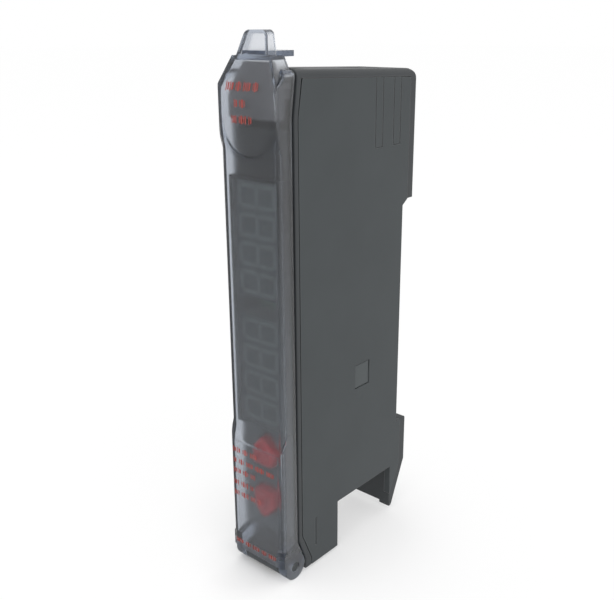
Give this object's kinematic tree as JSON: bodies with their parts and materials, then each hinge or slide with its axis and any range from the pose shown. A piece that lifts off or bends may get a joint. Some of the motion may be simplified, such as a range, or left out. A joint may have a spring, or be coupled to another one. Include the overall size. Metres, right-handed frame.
{
  "type": "fibre optic sensor amplifier",
  "caption": "Slim dark grey fibre optic sensor amplifier for a rail, with a hinged smoke cover, fibre lock lever, turned digit display and red push keys.",
  "frame": {"origin": "middle of the flat floor of the rail seat, at the rear of the case", "axes": "+Y out of the rear towards the rail, +Z along the case towards the fibre end, +X along the rail towards the side cover"},
  "size_m": [0.01, 0.0289, 0.0744],
  "materials": {
    "case_plastic": "fine moulded texture, dark grey",
    "side_plastic": "fine moulded texture, dark grey",
    "smoke_clear": "polished smoke clear",
    "lever_plastic": "satin grey",
    "holder_plastic": "satin black",
    "panel_plastic": "satin black",
    "filter_clear": "polished dark filter",
    "display_black": "satin black",
    "segment_milk": "milky, unlit",
    "key_red": "glossy red",
    "steel": "bright",
    "lamp_clear": "clear red",
    "sensor_dark": "dark filter plastic",
    "window_dark": "dark infrared filter",
    "board_green": "green solder mask",
    "chip_black": "moulded black",
    "brass_pin": "plated"
  },
  "bodies": {
    "housing": {"case": "case_plastic", "side_cover": "side_plastic", "lever_pin": "steel", "fibre_holder": "holder_plastic", "light_source": "lamp_clear", "light_receiver": "sensor_dark", "front_panel": "panel_plastic", "display_window": "filter_clear", "main_display": "display_black", "main_segments": "segment_milk", "sub_display": "display_black", "sub_segments": "segment_milk", "up_switch": "chip_black", "down_switch": "chip_black", "display_board": "board_green", "main_board": "board_green", "board_link": "chip_black", "controller_chip": "chip_black", "amplifier_chip": "chip_black", "link_emitter": "sensor_dark", "link_receiver": "sensor_dark", "right_window": "window_dark", "left_window": "window_dark", "connector_housing": "holder_plastic", "connector_pins": "brass_pin"},
    "cover": {"protective_cover": "smoke_clear"},
    "lever": {"lock_lever": "lever_plastic"},
    "clamp": {"clamp_plate": "steel"},
    "upper_key": {"up_key": "key_red"},
    "lower_key": {"down_key": "key_red"}
  },
  "joints": [
    {"name": "cover_hinge", "type": "hinge", "parent": "housing", "child": "cover", "pos_m": [0, -0.02397, -0.03145], "axis": [1, 0, 0], "range_deg": [0, 85]},
    {"name": "lever_pivot", "type": "hinge", "parent": "housing", "child": "lever", "pos_m": [0, -0.0211, 0.03385], "axis": [-1, 0, 0], "range_deg": [0, 60.1]},
    {"name": "clamp_slide", "type": "slide", "parent": "housing", "child": "clamp", "axis": [0, 1, 0], "range_m": [-0.00061, 0.00001]},
    {"name": "up_key_press", "type": "slide", "parent": "housing", "child": "upper_key", "axis": [0, 1, 0], "range_m": [0, 0.0003], "stiffness_N_per_m": 3000},
    {"name": "down_key_press", "type": "slide", "parent": "housing", "child": "lower_key", "axis": [0, 1, 0], "range_m": [0, 0.0003], "stiffness_N_per_m": 3000}
  ],
  "couplings": [
    {"joint": "lever_pivot", "follows": "cover_hinge", "ratio": 0.706},
    {"joint": "clamp_slide", "follows": "cover_hinge", "m_per_rad": -0.000404}
  ]
}
